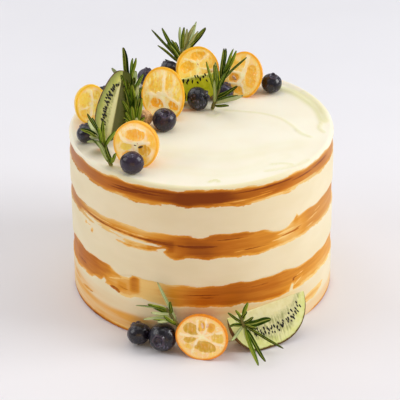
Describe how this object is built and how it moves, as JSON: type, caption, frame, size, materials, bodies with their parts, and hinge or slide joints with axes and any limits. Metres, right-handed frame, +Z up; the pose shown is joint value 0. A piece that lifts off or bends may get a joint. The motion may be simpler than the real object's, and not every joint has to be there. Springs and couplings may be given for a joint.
{
  "type": "decorated layer cake",
  "caption": "Tall round cake under cream icing with caramel stripes round its side, dressed with kumquat halves, kiwi wedges, berries and rosemary on top and at its foot.",
  "frame": {"origin": "middle of the cake's flat underside, on the surface that it stands on", "axes": "+Z up; -Y towards the front, where the foot garnish lies; +X to the right seen from the front"},
  "size_m": [0.172, 0.2092, 0.1724],
  "materials": {
    "icing": "smooth cream icing with soft caramel stripes, a satin sheen",
    "citrus": "moist cut flesh with pale walls inside a glossy orange peel",
    "berry_skin": "dark skin under a thin pale bloom",
    "kiwi_flesh": "moist green flesh with dark seeds and a thin brown skin",
    "rosemary_leaf": "dull needle leaves, paler underneath"
  },
  "bodies": {
    "root": {"iced_cake": "icing", "kumquat_half_1": "citrus", "kumquat_half_2": "citrus", "kumquat_half_3": "citrus", "kumquat_half_4": "citrus", "kumquat_half_5": "citrus", "kumquat_half_6": "citrus", "berry_1": "berry_skin", "berry_2": "berry_skin", "berry_3": "berry_skin", "berry_4": "berry_skin", "berry_5": "berry_skin", "berry_6": "berry_skin", "berry_7": "berry_skin", "berry_8": "berry_skin", "berry_9": "berry_skin", "berry_10": "berry_skin", "berry_11": "berry_skin", "berry_12": "berry_skin", "berry_13": "berry_skin", "kumquat_end": "citrus", "kiwi_wedge_1": "kiwi_flesh", "kiwi_wedge_2": "kiwi_flesh", "kiwi_wedge_3": "kiwi_flesh", "rosemary_sprig_1": "rosemary_leaf", "rosemary_sprig_2": "rosemary_leaf", "rosemary_sprig_3": "rosemary_leaf", "rosemary_sprig_4": "rosemary_leaf", "rosemary_sprig_5": "rosemary_leaf", "rosemary_sprig_6": "rosemary_leaf"}
  },
  "joints": []
}
